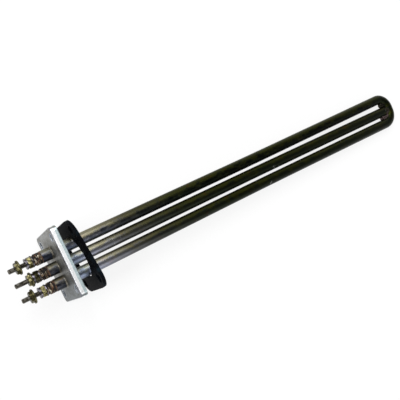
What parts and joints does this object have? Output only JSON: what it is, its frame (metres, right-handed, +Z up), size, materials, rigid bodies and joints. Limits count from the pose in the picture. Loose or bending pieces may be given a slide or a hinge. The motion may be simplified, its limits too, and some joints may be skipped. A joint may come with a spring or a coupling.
{
  "type": "steamer heating element",
  "caption": "Flanged tubular heating element: three sheathed legs, the outer pair bent into a long U, with a loose gasket and threaded stud terminals.",
  "frame": {"origin": "centre of the flange's back face, the face that seats on the boiler, and the middle of the bolt pattern", "axes": "+X along the legs from the flange to the bend, +Y to the left when looking that way, +Z up, square to the row of legs"},
  "size_m": [0.4542, 0.0615, 0.0611],
  "materials": {
    "flange_steel": "dull zinc-plated steel, bright on the worn edge",
    "gasket_rubber": "black rubber sheet, faint sheen",
    "sheath_alloy": "heat-darkened nickel alloy tube, bright grey with heat tints near the flange",
    "weld_metal": "rippled weld, darkened",
    "braze_metal": "dull silver braze",
    "coil_wire": "drawn resistance wire",
    "magnesia": "packed white powder",
    "pin_steel": "grey steel stud, threaded",
    "seal_resin": "brown sealing compound",
    "bush_ceramic": "cream ceramic, scorched brown and black",
    "washer_steel": "grey steel",
    "nut_brass": "tarnished brass",
    "cup_brass": "dark tarnished brass"
  },
  "bodies": {
    "root": {"flange": "flange_steel", "flange_braze_front": "braze_metal", "flange_braze_back": "braze_metal", "gasket": "gasket_rubber", "loop_sheath": "sheath_alloy", "centre_sheath": "sheath_alloy", "bend_weld": "weld_metal", "loop_coil": "coil_wire", "centre_coil": "coil_wire", "star_link": "coil_wire", "loop_magnesia": "magnesia", "centre_magnesia": "magnesia", "terminal_pin_left": "pin_steel", "mouth_seal_left": "seal_resin", "ceramic_bush_left": "bush_ceramic", "base_washer_left": "washer_steel", "inner_nut_left": "nut_brass", "lock_washer_left": "washer_steel", "flat_washer_left": "washer_steel", "cup_washer_left": "cup_brass", "outer_nut_left": "nut_brass", "terminal_pin_centre": "pin_steel", "mouth_seal_centre": "seal_resin", "ceramic_bush_centre": "bush_ceramic", "base_washer_centre": "washer_steel", "inner_nut_centre": "nut_brass", "lock_washer_centre": "washer_steel", "flat_washer_centre": "washer_steel", "cup_washer_centre": "cup_brass", "outer_nut_centre": "nut_brass", "terminal_pin_right": "pin_steel", "mouth_seal_right": "seal_resin", "ceramic_bush_right": "bush_ceramic", "base_washer_right": "washer_steel", "inner_nut_right": "nut_brass", "lock_washer_right": "washer_steel", "flat_washer_right": "washer_steel", "cup_washer_right": "cup_brass", "outer_nut_right": "nut_brass"}
  },
  "joints": []
}
